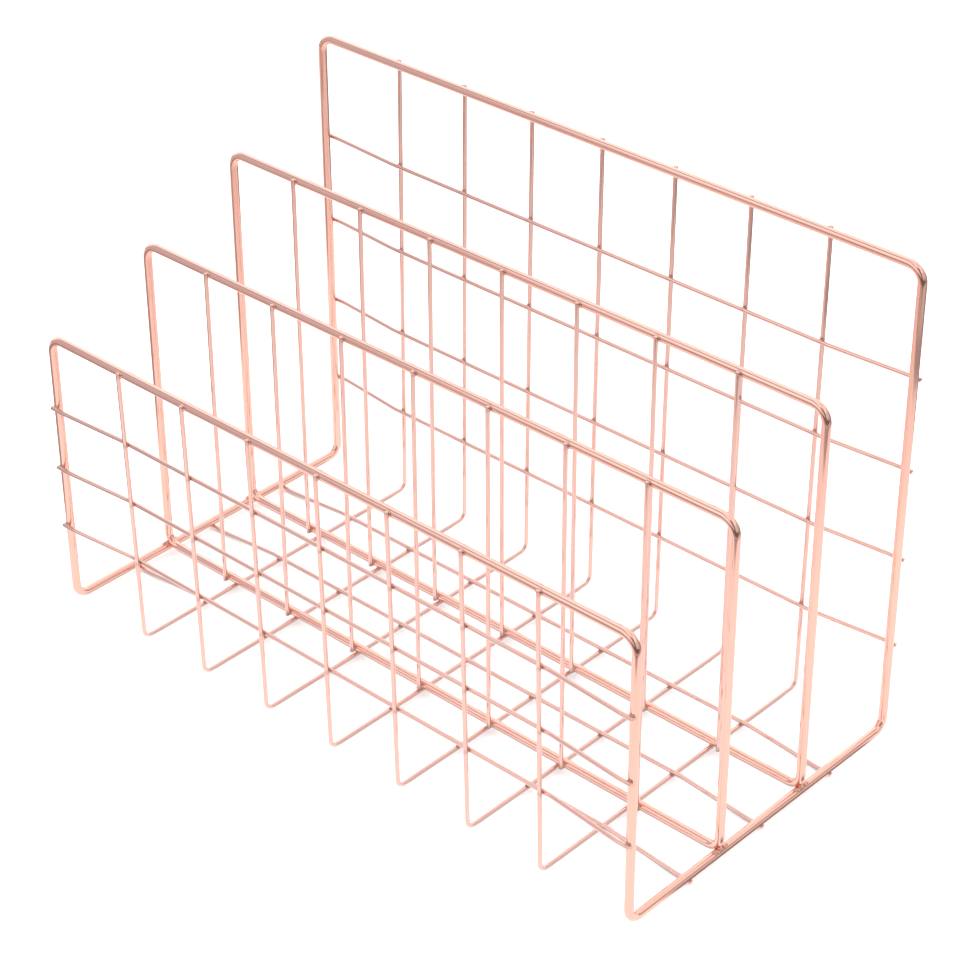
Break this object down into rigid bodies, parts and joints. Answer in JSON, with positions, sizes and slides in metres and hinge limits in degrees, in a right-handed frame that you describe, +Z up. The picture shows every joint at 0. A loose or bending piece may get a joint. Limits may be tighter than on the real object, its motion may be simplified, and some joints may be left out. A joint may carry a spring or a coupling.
{
  "type": "letter rack",
  "caption": "Free-standing desk rack of welded round wire: stepped upright panels on a wire base form open pockets that hold letters, envelopes and folders on edge.",
  "frame": {"origin": "middle of the footprint, on the surface that the rack stands on", "axes": "+X along the panels to the right as seen from the front, +Y from the low front panel to the tall rear panel, +Z up"},
  "size_m": [0.3036, 0.1594, 0.207],
  "materials": {
    "frame_wire": "polished rose-gold plating on thick steel wire",
    "grid_wire": "polished rose-gold plating on thin steel wire"
  },
  "bodies": {
    "root": {"outer_frame": "frame_wire", "front_divider_frame": "frame_wire", "rear_divider_frame": "frame_wire", "u_wire_1": "grid_wire", "u_wire_2": "grid_wire", "u_wire_3": "grid_wire", "u_wire_4": "grid_wire", "u_wire_5": "grid_wire", "u_wire_6": "grid_wire", "u_wire_7": "grid_wire", "front_cross_wire_1": "grid_wire", "front_cross_wire_2": "grid_wire", "front_cross_wire_3": "grid_wire", "rear_cross_wire_1": "grid_wire", "rear_cross_wire_2": "grid_wire", "rear_cross_wire_3": "grid_wire", "rear_cross_wire_4": "grid_wire", "base_cross_wire_1": "grid_wire", "base_cross_wire_2": "grid_wire", "base_cross_wire_3": "grid_wire", "front_divider_wire_1": "grid_wire", "front_divider_wire_2": "grid_wire", "front_divider_wire_3": "grid_wire", "front_divider_wire_4": "grid_wire", "front_divider_wire_5": "grid_wire", "front_divider_wire_6": "grid_wire", "front_divider_wire_7": "grid_wire", "rear_divider_wire_1": "grid_wire", "rear_divider_wire_2": "grid_wire", "rear_divider_wire_3": "grid_wire", "rear_divider_wire_4": "grid_wire", "rear_divider_wire_5": "grid_wire", "rear_divider_wire_6": "grid_wire", "rear_divider_wire_7": "grid_wire"}
  },
  "joints": []
}
